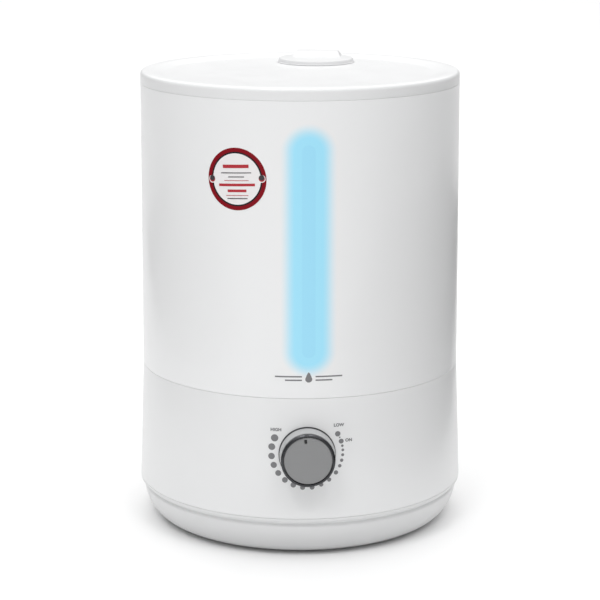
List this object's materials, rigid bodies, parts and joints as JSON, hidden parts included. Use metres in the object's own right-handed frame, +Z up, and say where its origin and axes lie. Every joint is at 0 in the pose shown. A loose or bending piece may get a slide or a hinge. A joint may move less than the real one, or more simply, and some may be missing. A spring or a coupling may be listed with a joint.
{
  "type": "cool mist humidifier",
  "caption": "Round white top-fill ultrasonic humidifier: lift-off tank and lid, turning mist nozzle, front dial, lit strip, basin, fan and electronics inside.",
  "frame": {"origin": "on the body's vertical axis, at the level of the surface the rubber feet stand on; the dial stands out at the front, so the bounding box is not centred on it", "axes": "+Z up, -Y to the front with the dial, +X to the viewer's right when seen from the front"},
  "size_m": [0.2256, 0.2385, 0.3177],
  "materials": {
    "shell_white": "smooth glossy white ABS",
    "tank_white": "smooth satin white, slightly translucent",
    "clear_acrylic": "clear light-guide acrylic",
    "silicone": "soft pale silicone",
    "foot_rubber": "dark matt rubber",
    "knob_silver": "satin silver-painted plastic",
    "knob_face": "brushed grey plastic",
    "dark_chrome": "black-chrome plated ring",
    "black_plastic": "moulded black plastic",
    "grey_plastic": "moulded grey plastic",
    "steel": "zinc-plated steel",
    "brass": "plated brass contact",
    "aluminium": "plain aluminium",
    "circuit_board": "green solder mask",
    "ferrite": "dark ferrite core",
    "piezo_ceramic": "piezo ceramic disc",
    "sticker": "printed vinyl sticker"
  },
  "bodies": {
    "base": {"base_pan": "shell_white", "foot_1": "foot_rubber", "foot_2": "foot_rubber", "foot_3": "foot_rubber", "foot_4": "foot_rubber", "case_screw_1": "steel", "case_screw_2": "steel", "case_screw_3": "steel", "case_screw_4": "steel", "base_shell": "shell_white", "power_inlet": "black_plastic", "power_inlet_pin": "brass", "water_basin": "shell_white", "air_collar": "shell_white", "well_cup": "shell_white", "transducer_seal": "silicone", "transducer_disc": "piezo_ceramic", "transducer_clamp": "aluminium", "clamp_screw_1": "steel", "clamp_screw_2": "steel", "clamp_screw_3": "steel", "float_clip": "grey_plastic", "reed_switch": "circuit_board", "light_lens": "clear_acrylic", "light_lamp": "clear_acrylic", "light_board": "circuit_board", "fan_frame": "black_plastic", "fan_screw_1": "steel", "fan_screw_2": "steel", "air_duct": "grey_plastic", "driver_board": "circuit_board", "board_screw_1": "steel", "board_screw_2": "steel", "heat_sink": "aluminium", "capacitor": "black_plastic", "inductor": "ferrite", "dimmer_switch": "grey_plastic", "switch_nut": "steel"},
    "dial": {"dial_shaft": "aluminium", "dial_knob": "knob_silver", "dial_ring": "dark_chrome", "dial_face": "knob_face"},
    "rotor": {"fan_rotor": "black_plastic"},
    "float": {"level_float": "grey_plastic"},
    "tank": {"water_tank": "tank_white", "mist_chimney": "tank_white", "chimney_seal": "silicone", "valve_cap": "grey_plastic", "light_guide": "clear_acrylic", "round_sticker": "sticker", "valve_spring": "steel"},
    "plunger": {"valve_plunger": "grey_plastic", "valve_seal": "silicone"},
    "top": {"lid": "shell_white", "lid_seal": "silicone"},
    "nozzle": {"mist_nozzle": "shell_white", "nozzle_ring": "silicone"}
  },
  "joints": [
    {"name": "tank_lift", "type": "slide", "parent": "base", "child": "tank", "axis": [0, 0, 1], "range_m": [0, 0.24]},
    {"name": "lid_lift", "type": "slide", "parent": "tank", "child": "top", "axis": [0, 0, 1], "range_m": [0, 0.08]},
    {"name": "nozzle_turn", "type": "hinge", "parent": "top", "child": "nozzle", "pos_m": [0.01397, 0.06051, 0.3117], "axis": [0, 0, 1], "continuous": true},
    {"name": "dial_turn", "type": "hinge", "parent": "base", "child": "dial", "pos_m": [0, -0.11119, 0.073], "axis": [0, 1, 0], "range_deg": [0, 300]},
    {"name": "float_rise", "type": "slide", "parent": "base", "child": "float", "axis": [0, 0, 1], "range_m": [0, 0.008]},
    {"name": "valve_close", "type": "slide", "parent": "tank", "child": "plunger", "axis": [0, 0, 1], "range_m": [-0.006, 0], "deforming": ["valve_spring"]},
    {"name": "fan_spin", "type": "hinge", "parent": "base", "child": "rotor", "pos_m": [-0.05788, 0, 0.02], "axis": [0, 0, 1], "continuous": true}
  ],
  "couplings": [
    {"joint": "valve_close", "follows": "tank_lift", "ratio": -0.025}
  ]
}
